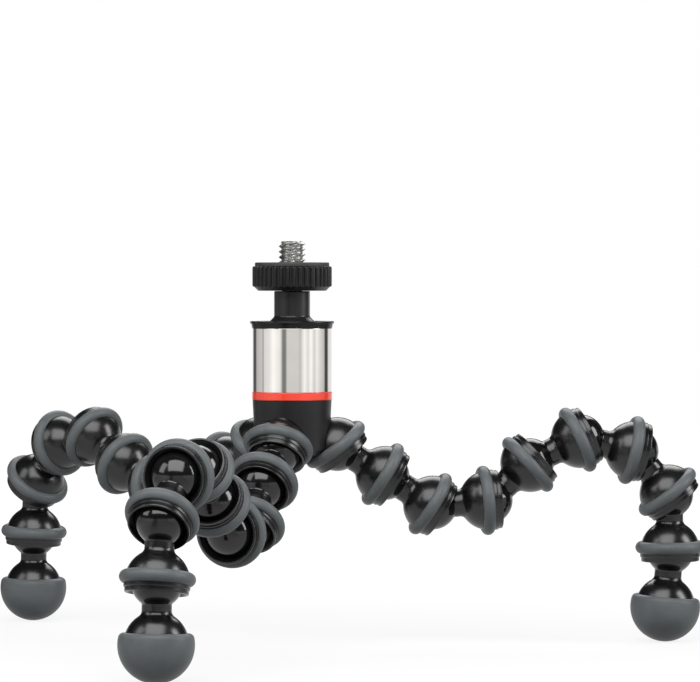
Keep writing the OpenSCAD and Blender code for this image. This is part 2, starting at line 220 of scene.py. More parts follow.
# %% [markdown]
# The world is white to the eye, as the ground of a product picture is. Mirrors see the sheets,
# which end in a dark ceiling, or the black plastic would turn grey from above. Plain scattered
# light is a dim grey room, so the lamps do the lighting and the white ground adds nothing to it.

# %% World
SHEETS_BRIGHT = 1.5
CEILING = [(0.05, (1.0, 1.0, 1.0)), (0.16, (0.06, 0.06, 0.06))]
ROOM_GREY = (0.12, 0.12, 0.125, 1)

world = bpy.data.worlds.new("studio")
scene.world = world
world.use_nodes = True
tree = world.node_tree
tree.nodes.clear()
path, seen = light_path_mask(tree)
way = add_node(tree, "ShaderNodeTexCoord", {}).outputs["Generated"]
height = add_node(tree, "ShaderNodeSeparateXYZ", {0: way}).outputs["Z"]
sockets = {"Factor": 1, "A": hang_sheets(tree, way), "B": colour_ramp(tree, height, CEILING)}
hung = add_node(tree, "ShaderNodeMix", sockets, data_type="RGBA", blend_type="MULTIPLY")
sockets = {"Color": hung.outputs["Result"], "Strength": SHEETS_BRIGHT}
mirrored = add_node(tree, "ShaderNodeBackground", sockets)
room = add_node(tree, "ShaderNodeBackground", {"Color": ROOM_GREY})
backdrop = add_node(tree, "ShaderNodeBackground", {"Color": WHITE})
by_gloss = mix_shaders(tree, seen, room, mirrored)
by_eye = mix_shaders(tree, path["Is Camera Ray"], by_gloss, backdrop)
add_node(tree, "ShaderNodeOutputWorld", {"Surface": by_eye.outputs[0]})
print("world:", world.name, "with", len(tree.nodes), "nodes")

# %% [markdown]
# The floor is a sheet of pale paper. A white floor under lamps would throw so much light up that
# black turns grey, so the paper is a mid grey for scattered light, with a glow that only the eye
# and mirrors see. The grey keeps the tripod's shadow. The glow grows to full white away from the
# part. Far from the part, mirrors see the sheets in the floor too, so that the collar looks like
# steel from a raised view and not like white plastic. Distances are from the part's origin.

# %% Floor
FLOOR_HALF = 1.3
PAPER_GREY = (0.30, 0.30, 0.30, 1)
GLOW_ENDS, GLOW_STRENGTHS = (0.12, 0.40), (1.25, 1.47)
GLOW_SHARE = 0.68
FLOOR_SHEETS_ENDS = (0.12, 0.22)

paper = bpy.data.materials.new("floor_paper")
paper.use_nodes = True
tree = paper.node_tree
tree.nodes.clear()
path, seen = light_path_mask(tree)
where = add_node(tree, "ShaderNodeTexCoord", {}).outputs["Object"]
away = add_node(tree, "ShaderNodeVectorMath", {0: where}, operation="LENGTH").outputs["Value"]
far = remap(tree, away, FLOOR_SHEETS_ENDS)
in_mirrors = calculate(tree, "MULTIPLY", path["Is Glossy Ray"], far)
sockets = {"Factor": in_mirrors, "A": WHITE, "B": hang_sheets(tree, where)}
hung = add_node(tree, "ShaderNodeMix", sockets, data_type="RGBA")
sockets = {"Color": hung.outputs["Result"], "Strength": remap(tree, away, GLOW_ENDS, GLOW_STRENGTHS)}
glow = add_node(tree, "ShaderNodeEmission", sockets)
matte = add_node(tree, "ShaderNodeBsdfDiffuse", {"Color": PAPER_GREY})
both = mix_shaders(tree, calculate(tree, "MULTIPLY", seen, GLOW_SHARE), matte, glow)
add_node(tree, "ShaderNodeOutputMaterial", {"Surface": both.outputs[0]})

corners = [(-1, -1), (1, -1), (1, 1), (-1, 1)]
floor_points = [(x * FLOOR_HALF, y * FLOOR_HALF, cad_low.z) for x, y in corners]
floor_mesh = bpy.data.meshes.new("floor")
floor_mesh.from_pydata(floor_points, [], [(0, 1, 2, 3)])
floor_mesh.materials.append(paper)
floor = bpy.data.objects.new("floor", floor_mesh)
scene.collection.objects.link(floor)
print("floor height in mm:", round(cad_low.z / MM, 2))

# %% [markdown]
# Each finish starts from the same shader with a little wandering colour, gloss and grain, because
# no moulded or turned surface is even. Painted textures would do, but noise in the piece's own
# space needs no unwrapping and stays with the piece when a leg bends. A value that is the same all
# over, such as metal or the strength of the shine, sits on the shader itself.

# %% Finish helper
PATCH_SCALE, PATCH_DETAIL = 180, 4
PATCH_ENDS = (0.3, 0.7)
GRAIN_DETAIL = 2


def finish(name, dark, light, rough, rough_spread, grain_scale, grain_depth, metal=0.0, shine=0.5):
    """A finish with patchy colour between two tones, uneven gloss and a fine grain."""
    made = bpy.data.materials.new(name)
    made.use_nodes = True
    tree = made.node_tree
    shader = tree.nodes["Principled BSDF"]
    shader.inputs["Metallic"].default_value = metal
    shader.inputs["Specular IOR Level"].default_value = shine
    where = add_node(tree, "ShaderNodeTexCoord", {}).outputs["Object"]
    sockets = {"Vector": where, "Scale": PATCH_SCALE, "Detail": PATCH_DETAIL}
    patches = add_node(tree, "ShaderNodeTexNoise", sockets).outputs["Fac"]
    tones = colour_ramp(tree, patches, list(zip(PATCH_ENDS, (dark, light))))
    spread = remap(tree, patches, PATCH_ENDS, (rough - rough_spread, rough + rough_spread))
    sockets = {"Vector": where, "Scale": grain_scale, "Detail": GRAIN_DETAIL}
    grain = add_node(tree, "ShaderNodeTexNoise", sockets).outputs["Fac"]
    sockets = {"Strength": 1.0, "Distance": grain_depth * MM, "Height": grain}
    bump = add_node(tree, "ShaderNodeBump", sockets)
    tree.links.new(tones, shader.inputs["Base Color"])
    tree.links.new(spread, shader.inputs["Roughness"])
    tree.links.new(bump.outputs["Normal"], shader.inputs["Normal"])
    return made


# %% [markdown]
# The black plastics differ by how they leave the mould. The domes are satin, the balls are
# polished so that they turn smoothly, and the hub has a fine texture that dulls its shine. The
# retaining ring and the wheel lie between these, and so does the stud, which is turned metal under
# a black coat. The ring between collar and hub is the same kind of plastic in red. One black for
# all of them would make the tripod look cast in one piece, so each has its own gloss.

# %% Black and red finishes
shell_black = finish(
    "shell_black", (0.003, 0.003, 0.0034), (0.006, 0.006, 0.0066),
    rough=0.26, rough_spread=0.04, grain_scale=2600, grain_depth=0.003,
)
ball_black = finish(
    "ball_black", (0.003, 0.003, 0.0034), (0.005, 0.005, 0.0056),
    rough=0.12, rough_spread=0.03, grain_scale=1500, grain_depth=0.001,
)
ring_black = finish(
    "ring_black", (0.003, 0.003, 0.003), (0.006, 0.006, 0.007),
    rough=0.24, rough_spread=0.03, grain_scale=2600, grain_depth=0.002, shine=0.25,
)
hub_matte = finish(
    "hub_matte", (0.007, 0.007, 0.008), (0.012, 0.012, 0.013),
    rough=0.4, rough_spread=0.05, grain_scale=5000, grain_depth=0.008, shine=0.25,
)
stud_black = finish(
    "stud_black", (0.006, 0.006, 0.007), (0.011, 0.011, 0.012),
    rough=0.3, rough_spread=0.05, grain_scale=2600, grain_depth=0.004, shine=0.35,
)
wheel_black = finish(
    "wheel_black", (0.002, 0.002, 0.002), (0.005, 0.005, 0.005),
    rough=0.36, rough_spread=0.05, grain_scale=3000, grain_depth=0.004, shine=0.3,
)
accent_red = finish(
    "accent_red", (0.74, 0.046, 0.022), (0.82, 0.058, 0.028),
    rough=0.13, rough_spread=0.03, grain_scale=2400, grain_depth=0.001,
)
print("legs and hub:", shell_black.name, ball_black.name, hub_matte.name, accent_red.name)
print("head:", ring_black.name, stud_black.name, wheel_black.name)

# %% [markdown]
# The grip rings and the foot caps are soft grey rubber with a cool tint. Rubber has little shine
# and a broad, dull highlight, so its roughness is high and its shine low. The pad on the wheel is
# a darker, duller sheet of the same kind.

# %% Rubber finishes
grip_rubber = finish(
    "grip_rubber", (0.080, 0.088, 0.091), (0.105, 0.115, 0.119),
    rough=0.43, rough_spread=0.05, grain_scale=3200, grain_depth=0.007, shine=0.2,
)
pad_rubber = finish(
    "pad_rubber", (0.018, 0.018, 0.019), (0.028, 0.028, 0.029),
    rough=0.62, rough_spread=0.08, grain_scale=3600, grain_depth=0.012,
)
print("rubbers:", grip_rubber.name, pad_rubber.name)

# %% [markdown]
# The collar is polished steel, nearly a mirror, with a warm tint. The screw is zinc plated and
# the springs are bare, so both scatter more. A metal's colour is the colour of its mirror image,
# which is why these tones are so much lighter than those of the plastics. The nylon seat under
# the head ball is the one pale plastic.

# %% Metal and nylon finishes
collar_steel = finish(
    "collar_steel", (0.64, 0.62, 0.59), (0.70, 0.68, 0.65),
    rough=0.07, rough_spread=0.02, grain_scale=900, grain_depth=0.0003, metal=1.0,
)
screw_zinc = finish(
    "screw_zinc", (0.34, 0.34, 0.33), (0.44, 0.44, 0.43),
    rough=0.40, rough_spread=0.06, grain_scale=2000, grain_depth=0.002, metal=1.0,
)
spring_steel = finish(
    "spring_steel", (0.30, 0.30, 0.31), (0.42, 0.42, 0.43),
    rough=0.34, rough_spread=0.06, grain_scale=1800, grain_depth=0.002, metal=1.0,
)
seat_nylon = finish(
    "seat_nylon", (0.68, 0.67, 0.62), (0.78, 0.77, 0.73),
    rough=0.48, rough_spread=0.06, grain_scale=2200, grain_depth=0.006,
)
print("metals and nylon:", collar_steel.name, screw_zinc.name, spring_steel.name, seat_nylon.name)

# %% [markdown]
# A moulded edge is never sharp, and a lathe never leaves a perfect corner. The outline helper
# takes a list of corners, each with a radius, and cuts every corner by a smooth bend. A hold
# point on either side of the bend keeps the straight run next to it straight: without one, the
# smooth shading of the bend would spread over the whole run, and a plain tube would mirror the
# room like a barrel.

# %% Outline helpers
BEND_STEPS = 5
HOLD = 0.04


def arc(middle, radius, start, end, steps):
    """Corners without a radius on an arc, angles in degrees from the outward direction."""
    turns = [math.radians(start + (end - start) * i / steps) for i in range(steps + 1)]
    return [(middle[0] + radius * math.cos(t), middle[1] + radius * math.sin(t), 0) for t in turns]


def rounded(corners, closed=False):
    """The outline with each corner (out, along, radius) cut by a smooth bend between two hold points."""
    line = []
    count = len(corners)
    for i, (out, along, radius) in enumerate(corners):
        here = Vector((out, along))
        if radius == 0 or (not closed and i in (0, count - 1)):
            line.append(here)
            continue
        before = Vector(corners[i - 1][:2]) - here
        after = Vector(corners[(i + 1) % count][:2]) - here
        reach = radius / math.tan(before.angle(after) / 2)
        start = here + before.normalized() * min(reach, before.length / 2 - HOLD)
        end = here + after.normalized() * min(reach, after.length / 2 - HOLD)
        line.append(start + before.normalized() * HOLD)
        for step in range(BEND_STEPS + 1):
            t = step / BEND_STEPS
            line.append(start * (1 - t) ** 2 + here * 2 * t * (1 - t) + end * t * t)
        line.append(end + after.normalized() * HOLD)
    return line


# %% [markdown]
# Spinning an outline gives a true round piece with an even grid of faces, which a bevel over a
# sliced cylinder doesn't. The skin helper is more general: it takes rows of points, one point for
# each turn, so that the ribs of the wheel and the thread of the screw can be made with it too. A
# plain spin is a skin whose rows are all round.

# %% Mesh helpers
ON_AXIS = 1e-6
SHARP_ANGLE = 50
TURNS, FINE_TURNS, HEAD_TURNS = 72, 96, 128


def skin(name, rows, looks, closed=False, sharp=SHARP_ANGLE):
    """A mesh about its own z axis from rows of points (out, along) in millimetres."""
    points, rings, faces = [], [], []
    for row in rows:
        count = len(row)
        if row[0][0] < ON_AXIS:
            rings.append([len(points)] * count)
            points.append((0, 0, row[0][1] * MM))
            continue
        rings.append([len(points) + i for i in range(count)])
        for i, (out, along) in enumerate(row):
            t = 2 * math.pi * i / count
            points.append((out * math.cos(t) * MM, out * math.sin(t) * MM, along * MM))
    for low, high in zip(rings, rings[1:] + rings[:1] if closed else rings[1:]):
        for i in range(len(low)):
            j = (i + 1) % len(low)
            around = [low[i], low[j], high[j], high[i]]
            kept = [p for n, p in enumerate(around) if p != around[n - 1]]
            if len(kept) > 2:
                faces.append(kept)
    mesh = bpy.data.meshes.new(name)
    mesh.from_pydata(points, [], faces)
    for look in looks:
        mesh.materials.append(look)
    mesh.shade_smooth()
    mesh.set_sharp_from_angle(angle=math.radians(sharp))
    return mesh


def spin(name, outline, looks, closed=False, turns=TURNS):
    """A round piece from a half outline in millimetres."""
    return skin(name, [[point] * turns for point in outline], looks, closed)


def place(name, mesh, matrix, body, nodes=()):
    """Puts a mesh on a CAD body, in place of the nodes that it stands for."""
    piece = bpy.data.objects.new(name, mesh)
    scene.collection.objects.link(piece)
    piece.matrix_world = matrix
    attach(piece, body)
    if nodes:
        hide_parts(*nodes)


# %% [markdown]
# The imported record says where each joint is, so a link's place needs no measuring. Its ball sits
# at its own joint and its axis runs to the next one. A foot has no next joint, but each joint
# bends as far to one side as to the other, so the middle of its range says how far the foot leans
# from the link above it. A hub socket lies along the axis of its leg's swing.

# %% Places of the links
LEGS = (1, 2, 3)
LINKS = 8
joints = {joint["name"]: joint for joint in frame["record"]["behaviour"]["joints"]}


def ball_of(leg, number):
    return Vector(joints[f"leg_{leg}_bend_{number}"]["pos_m"])


def stand(at, way):
    """A matrix that puts a piece's origin at a point and its z axis along a direction."""
    turn = Vector(way).to_track_quat("Z", "Y")
    return Matrix.Translation(at) @ turn.to_matrix().to_4x4()


def link_stand(leg, number):
    """The place of a link, or of the foot, whose number is one more than the last link's."""
    if number <= LINKS:
        return stand(ball_of(leg, number), ball_of(leg, number + 1) - ball_of(leg, number))
    joint = joints[f"leg_{leg}_bend_{number}"]
    way = ball_of(leg, number) - ball_of(leg, number - 1)
    way.rotate(Quaternion(joint["axis"], -math.radians(sum(joint["range_deg"]) / 2)))
    return stand(ball_of(leg, number), way)


steps = [(ball_of(1, n + 1) - ball_of(1, n)).length / MM for n in range(1, LINKS + 1)]
print("ball to ball in mm:", round(min(steps), 2), "to", round(max(steps), 2))

# %% [markdown]
# A link is one black moulding: a polished ball, a short neck, a satin dome, a groove for the
# grip ring and a stepped lip round the next ball's pocket. The first half of its outline goes from
# the ball's pole up the neck. A small fillet joins the neck to the ball, and a wide one lets it
# run into the dome. Both touch their circles, so their middles follow from the radii.

# %% Ball and neck
PITCH = steps[0]
BALL_R = 5.75
NECK_R = 3.25
BALL_FILLET = 0.6
DOME_FILLET = 1.5
DOME_R = 7.1
POLE = 86
BALL_STEPS, BALL_FILLET_STEPS, DOME_FILLET_STEPS = 28, 5, 8


def fillet_middle(sphere_r, fillet):
    """Middle of the fillet between the neck and a sphere about the origin, as (out, along)."""
    out = NECK_R + fillet
    return out, math.sqrt((sphere_r + fillet) ** 2 - out**2)


def ball_and_neck():
    """From the ball's pole up the neck to the start of the dome, and the turn at which that is."""
    low = fillet_middle(BALL_R, BALL_FILLET)
    out, down = fillet_middle(DOME_R, DOME_FILLET)
    leave = math.degrees(math.atan2(low[1], low[0]))
    meet = math.degrees(math.atan2(down, out))
    line = [(0, -BALL_R, 0)] + arc((0, 0), BALL_R, -POLE, leave, BALL_STEPS)
    line += arc(low, BALL_FILLET, 180 + leave, 180, BALL_FILLET_STEPS)[1:]
    line += [(NECK_R, low[1] + HOLD, 0), (NECK_R, PITCH - down - HOLD, 0)]
    line += arc((out, PITCH - down), DOME_FILLET, 180, 180 - meet, DOME_FILLET_STEPS)
    return line, -meet


# %% [markdown]
# The second half of the outline is the socket. The dome and the pocket share one middle, which is
# the next ball's. The mouth is flared, because the next neck leans against it at the largest
# bend. That bend and the neck's radius give the flare its line here, as in CAD.

# %% Socket and pocket
POCKET_R = 5.85
LIP_R = 7.2
MOUTH_R = 6.95
MOUTH_H = 1.05
LIP_REACH = 2.6
LIP_EDGE, STEP_EDGE, FLARE_EDGE = 0.35, 0.06, 0.1
BEND_LIMIT = math.radians(39)
BEND_GAP = 0.15
RING_TO_BALL = 0.75
RING_HALF = 1.45
GROOVE_R = 6.55
GROOVE_TURN = math.degrees(math.asin((-RING_TO_BALL - RING_HALF) / DOME_R))
POCKET_STEPS, DOME_STEPS = 16, 14


def socket_and_pocket(line, middle):
    """From the grip ring's groove over the lip and into the pocket, whose middle is at a height."""
    ring = middle - RING_TO_BALL
    mouth = middle + LIP_REACH
    neck_room = NECK_R + BEND_GAP
    flare_r = neck_room / math.cos(BEND_LIMIT) + LIP_REACH * math.tan(BEND_LIMIT)
    flare_turn = 90 - math.degrees(BEND_LIMIT + math.asin(neck_room / POCKET_R))
    line += [(GROOVE_R, ring - RING_HALF, 0), (GROOVE_R, ring + RING_HALF, 0)]
    line += [(LIP_R, ring + RING_HALF, 0), (LIP_R, mouth - MOUTH_H, LIP_EDGE)]
    line += [(MOUTH_R, mouth - MOUTH_H, STEP_EDGE), (MOUTH_R, mouth, LIP_EDGE)]
    line += [(flare_r, mouth, FLARE_EDGE)]
    line += arc((0, middle), POCKET_R, flare_turn, -POLE, POCKET_STEPS)
    return line + [(0, middle - POCKET_R, 0)]


# %% [markdown]
# All links are the same moulding, so one mesh serves all of them. The ball is polished and the
# rest is satin. The mesh holds both finishes and changes from one to the other at the middle of
# the neck, where the change shows least.

# %% Link mesh
NECK_LOW = fillet_middle(BALL_R, BALL_FILLET)[1]
NECK_HIGH = PITCH - fillet_middle(DOME_R, DOME_FILLET)[1]
NECK_MIDDLE = (NECK_LOW + NECK_HIGH) / 2


def polish_ball(mesh):
    """Gives the second finish to every face on the ball's side of the neck's middle."""
    for face in mesh.polygons:
        face.material_index = 1 if face.center.z < NECK_MIDDLE * MM else 0


line, dome_start = ball_and_neck()
line += arc((0, PITCH), DOME_R, dome_start, GROOVE_TURN, DOME_STEPS)[1:]
link_mesh = spin("link", rounded(socket_and_pocket(line, PITCH)), [shell_black, ball_black])
polish_ball(link_mesh)
print("link faces:", len(link_mesh.polygons))

# %% [markdown]
# The grip ring is a soft rubber band with a round crown, stretched into the link's groove. It is
# a closed outline spun about the same axis, and a separate piece from its link, because it is a
# piece of its own on the real leg and has another finish.

# %% Ring mesh
RING_R = 8.3
CROWN_R = 1.5
FIT = 0.04
CROWN_STEPS = 16
crown_side = RING_HALF - FIT
crown_turn = math.degrees(math.asin(crown_side / CROWN_R))
ring_line = [(GROOVE_R + FIT, crown_side, 0), (GROOVE_R + FIT, -crown_side, 0)]
ring_line += arc((RING_R - CROWN_R, 0), CROWN_R, -crown_turn, crown_turn, CROWN_STEPS)
ring_mesh = spin("ring", rounded(ring_line, closed=True), [grip_rubber], closed=True)
print("ring faces:", len(ring_mesh.polygons))

# %% [markdown]
# Each link rides on its own body, so a bend of one joint carries all that hangs below it. The ring
# rides on the same body as its link.

# %% Links and rings
to_socket = Matrix.Translation((0, 0, PITCH * MM))
to_ring = Matrix.Translation((0, 0, -RING_TO_BALL * MM))
for leg in LEGS:
    for number in range(1, LINKS + 1):
        body = f"leg_{leg}_link_{number}"
        at = link_stand(leg, number)
        place(f"{body}_shell", link_mesh, at, body, [body])
        place(f"{body}_ring", ring_mesh, at @ to_socket @ to_ring, body)
print("links placed:", len(LEGS) * LINKS)

# %% [markdown]
# The three hub sockets are links without a ball. Each has a peg that is pressed into the hub, so
# its outline starts with the peg and its shoulder and then goes on as a link's does.

# %% Hub sockets
PEG_R, PEG_LENGTH, PEG_EDGE = 2.5, 4, 0.4
SHOULDER_R, SHOULDER_H = 3.0, 0.7
PEG_END = -DOME_R - PEG_LENGTH
SHOULDER_END = -DOME_R - SHOULDER_H
line = [(0, PEG_END, 0), (PEG_R, PEG_END, PEG_EDGE)]
line += [(PEG_R, SHOULDER_END, 0), (SHOULDER_R, SHOULDER_END, 0)]
shoulder_turn = -math.degrees(math.acos(SHOULDER_R / DOME_R))
line += arc((0, 0), DOME_R, shoulder_turn, GROOVE_TURN, DOME_STEPS)
socket_mesh = spin("socket", rounded(socket_and_pocket(line, 0)), [shell_black])
for leg in LEGS:
    swing = joints[f"leg_{leg}_swing"]
    at = stand(Vector(swing["pos_m"]), swing["axis"])
    place(f"hub_socket_{leg}_shell", socket_mesh, at, "hub", [f"hub_socket_{leg}"])
    swivel = f"leg_{leg}_swivel"
    place(f"hub_ring_{leg}_band", ring_mesh, at @ to_ring, swivel, [f"hub_ring_{leg}"])
print("hub sockets placed:", len(LEGS))

# %% [markdown]
# A foot's core is a last ball and dome with a plug under it. The plug has a bead, a small step
# that keeps the rubber cap from sliding off. Its outline starts like a link's.

# %% Foot cores
FOOT_CORE_R = 6.55
FOOT_DROP = 0.15
BEAD = 0.6
BEAD_H = 1.0
FOOT_DOME_STEPS, PLUG_STEPS = 16, 12
line, dome_start = ball_and_neck()
line += arc((0, PITCH), DOME_R, dome_start, 0, FOOT_DOME_STEPS)[1:]
bead = [(FOOT_CORE_R, 0, 0), (FOOT_CORE_R, FOOT_DROP, 0)]
bead += [(FOOT_CORE_R - BEAD, FOOT_DROP, 0), (FOOT_CORE_R - BEAD, FOOT_DROP + BEAD_H, 0)]
bead_turn = math.degrees(math.asin(BEAD_H / FOOT_CORE_R))
plug = bead + arc((0, FOOT_DROP), FOOT_CORE_R, bead_turn, POLE, PLUG_STEPS)
plug += [(0, FOOT_DROP + FOOT_CORE_R, 0)]
line += [(out, PITCH + along, bend) for out, along, bend in plug]
foot_mesh = spin("foot", rounded(line), [shell_black, ball_black])
polish_ball(foot_mesh)
print("foot faces:", len(foot_mesh.polygons))

# %% [markdown]
# The thick rubber cap goes over the plug and is a little wider than a grip ring. Its face is part
# of one ball from the bottom up to the rim, and the rim's rounding runs into that ball without a
# crease. Inside it follows the plug back, so that cap and plug meet without a gap.

# %% Foot caps
FOOT_R = 8.35
FOOT_RIM = 2.4
RIM_ROUND = 1.2
CAP_POLE = 87
RIM_STEPS, RIM_ROUND_STEPS, FACE_STEPS = 5, 8, 26
rim_turn = math.degrees(math.asin(FOOT_RIM / DOME_R))
round_up = FOOT_RIM + FOOT_DROP - RIM_ROUND
round_r = math.sqrt((FOOT_R - RIM_ROUND) ** 2 - round_up**2)
face_turn = -math.degrees(math.atan2(round_up, round_r))
cap = arc((0, 0), DOME_R, 0, -rim_turn, RIM_STEPS)
cap += arc((round_r, RIM_ROUND - FOOT_RIM), RIM_ROUND, -90, face_turn, RIM_ROUND_STEPS)
cap += arc((0, FOOT_DROP), FOOT_R, face_turn, CAP_POLE, FACE_STEPS)[1:]
cap += [(0, FOOT_DROP + FOOT_R, 0), (0, FOOT_DROP + FOOT_CORE_R, 0)]
cap += arc((0, FOOT_DROP), FOOT_CORE_R, POLE, bead_turn, PLUG_STEPS) + bead[::-1]
cap_mesh = spin("foot_cap", rounded(cap, closed=True), [grip_rubber], closed=True)
for leg in LEGS:
    body = f"leg_{leg}_foot"
    at = link_stand(leg, LINKS + 1)
    place(f"{body}_core", foot_mesh, at, body, [body])
    place(f"{body}_boot", cap_mesh, at @ to_socket, body, [f"{body}_cap"])
print("feet placed:", len(LEGS))

# %% [markdown]
# The hub body is a moulded cup with three arches that leave room for the sockets. Its CAD solid
# already has the right form. A narrow bevel over its sharp edges gives the moulded softness that
# catches a thin line of light, and the bevel is a modifier, so the solid itself stays as it is.

# %% Hub body
HUB_EDGE, HUB_EDGE_STEPS, HUB_EDGE_ANGLE = 0.18, 2, 40
hub = frame["nodes"]["hub_body"]
hub.data.materials.clear()
hub.data.materials.append(hub_matte)
soft_edge = hub.modifiers.new("soft_edge", "BEVEL")
soft_edge.width = HUB_EDGE * MM
soft_edge.segments = HUB_EDGE_STEPS
soft_edge.limit_method = "ANGLE"
soft_edge.angle_limit = math.radians(HUB_EDGE_ANGLE)
soft_edge.harden_normals = True
print("hub faces:", len(hub.data.polygons))

# %% [markdown]
# The collar is a plain steel tube with its edges just broken, and the red ring under it is as
# thick as its wall. Both stand on the part's own upright axis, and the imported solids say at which
# heights. They get more turns than a link, because a mirror shows every flat.

# %% Collar and red ring
AXIS = Matrix.Identity(4)
COLLAR_R, COLLAR_BORE = 9.45, 8.75
ACCENT_R = 9.5
BORE_EDGE, COLLAR_EDGE, ACCENT_EDGE = 0.1, 0.06, 0.2


def heights(node):
    """The lowest and highest point of a CAD node in millimetres."""
    low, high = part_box(node)
    return low.z / MM, high.z / MM


def tube(name, bore, outside, low, high, bore_edge, outside_edge, look):
    corners = [(bore, low, bore_edge), (outside, low, outside_edge)]
    corners += [(outside, high, outside_edge), (bore, high, bore_edge)]
    return spin(name, rounded(corners, closed=True), [look], closed=True, turns=HEAD_TURNS)


COLLAR_LOW, COLLAR_TOP = heights("steel_collar")
collar_ends = (COLLAR_LOW, COLLAR_TOP, BORE_EDGE, COLLAR_EDGE)
collar_mesh = tube("collar", COLLAR_BORE, COLLAR_R, *collar_ends, collar_steel)
place("collar_tube", collar_mesh, AXIS, "hub", ["steel_collar"])
accent_ends = (*heights("accent_ring"), BORE_EDGE, ACCENT_EDGE)
accent_mesh = tube("accent", COLLAR_BORE, ACCENT_R, *accent_ends, accent_red)
place("accent_band", accent_mesh, AXIS, "hub", ["accent_ring"])
print("collar in mm:", round(COLLAR_LOW, 2), "to", round(COLLAR_TOP, 2))

# %% [markdown]
# The black retaining ring is screwed into the collar from above and keeps the head ball in. It has
# a thin flange over a tapered band, and inside a pocket for the ball. Its mouth opens just far
# enough for the stem at the head's largest tilt, so the tilt joint's limit gives the throat.

# %% Retaining ring
HEAD_BALL_R, HEAD_GAP = 7.2, 0.1
HEAD_POCKET_R = HEAD_BALL_R + HEAD_GAP
STEM_R = 4.25
TILT_SPARE = 1.5
RETAINER_R, BAND_R, SKIRT_R, RIM_R = 9.95, 9.65, 7.92, 7.98
FLANGE_H, BAND_STEP = 0.6, 0.1
POCKET_WALL_STEPS = 12
SKIRT_LOW, RETAINER_TOP = heights("retaining_ring")
FLANGE_LOW = RETAINER_TOP - FLANGE_H
HEAD_BALL_Z = joints["head_tilt"]["pos_m"][2] / MM
tilt = math.radians(joints["head_tilt"]["range_deg"][1] + TILT_SPARE)
throat_turn = math.asin(STEM_R / HEAD_BALL_R) + tilt
throat_r = HEAD_POCKET_R * math.sin(throat_turn)
throat_z = HEAD_BALL_Z + HEAD_POCKET_R * math.cos(throat_turn)
skirt_turn = math.degrees(math.asin((SKIRT_LOW - HEAD_BALL_Z) / HEAD_POCKET_R))
retainer = [
    (SKIRT_R, SKIRT_LOW, 0.1), (SKIRT_R, COLLAR_TOP, 0), (COLLAR_R, COLLAR_TOP, 0.1),
    (BAND_R, FLANGE_LOW - BAND_STEP, 0.1), (BAND_R, FLANGE_LOW, 0.05), (RETAINER_R, FLANGE_LOW, 0.15),
    (RETAINER_R, RETAINER_TOP, 0.22), (RIM_R, RETAINER_TOP, 0.15), (throat_r, throat_z, 0.05),
]
pocket_start = 90 - math.degrees(throat_turn)
retainer += arc((0, HEAD_BALL_Z), HEAD_POCKET_R, pocket_start, skirt_turn, POCKET_WALL_STEPS)[1:]
retainer_line = rounded(retainer, closed=True)
retainer_mesh = spin("retainer", retainer_line, [ring_black], closed=True, turns=HEAD_TURNS)
place("retainer_ring", retainer_mesh, AXIS, "hub", ["retaining_ring"])
print("mouth of the retaining ring in mm:", round(throat_r, 2))

# %% [markdown]
# The ball and its stem are one turned piece in black. The stem leaves the ball through a small
# fillet, and the ball shows only as a dark slope above the retaining ring. A bore for the screw
# goes through both, with a wider well below for the clip.

# %% Ball stud
CLIP_WELL_R, LEDGE_RISE = 3.6, 4
CLIP_LEDGE = HEAD_BALL_Z + LEDGE_RISE
SHANK_HOLE_R = 2.48
STEM_FILLET, STEM_EDGE = 0.7, 0.3
FILLET_TURN, FILLET_RISE = 5, 0.15
STUD_STEPS = 32
STEM_TOP = heights("ball_stud")[1]
well_turn = -math.degrees(math.acos(CLIP_WELL_R / HEAD_BALL_R))
stem_turn = math.degrees(math.acos(STEM_R / HEAD_BALL_R))
stem_foot = HEAD_BALL_Z + HEAD_BALL_R * math.sin(math.radians(stem_turn)) + FILLET_RISE
stud = [(SHANK_HOLE_R, STEM_TOP, 0), (SHANK_HOLE_R, CLIP_LEDGE, 0), (CLIP_WELL_R, CLIP_LEDGE, 0)]
stud += arc((0, HEAD_BALL_Z), HEAD_BALL_R, well_turn, stem_turn - FILLET_TURN, STUD_STEPS)
stud += [(STEM_R, stem_foot, STEM_FILLET), (STEM_R, STEM_TOP, STEM_EDGE)]
stud_mesh = spin("stud", rounded(stud, closed=True), [stud_black], closed=True, turns=FINE_TURNS)
place("stud_ball", stud_mesh, AXIS, "ball_stud", ["ball_stud"])
print("stud faces:", len(stud_mesh.polygons))

# %% [markdown]
# The thumb wheel's grip is a row of straight ribs. They could be small cylinders joined to a disc,
# but a join leaves ragged faces. Here each rib is half round and ends in a small slope at both
# ends, so the wheel is a skin: one row of points round the wheel, repeated at many heights, where
# the ribs rise and fall by a smooth step.

# %% Thumb wheel
RIBS = 38
RIB_POINTS = 12
RIB_R = 0.45
RIB_END, RIB_END_STEPS = 0.45, 5
WHEEL_CORE, WHEEL_UNDER_R, WHEEL_HOLE = 8.95, 8.05, 2.44
WHEEL_CHAMFER = 0.9
UNDER_HOLD, LOW_HOLD = 0.08, 0.05
WHEEL_SHARP = 42
WHEEL_UNDER, WHEEL_TOP = heights("thumb_wheel")
WHEEL_LOW = WHEEL_UNDER + WHEEL_CHAMFER


def share_of(length, whole):
    return max(0.0, min(1.0, length / whole))


def rib_height(share):
    """How far the rib stands out at a share of the way from one rib to the next."""
    side = (share - 0.5) * 2 * math.pi * WHEEL_CORE / RIBS
    return math.sqrt(RIB_R * RIB_R - side * side) if abs(side) < RIB_R else 0.0


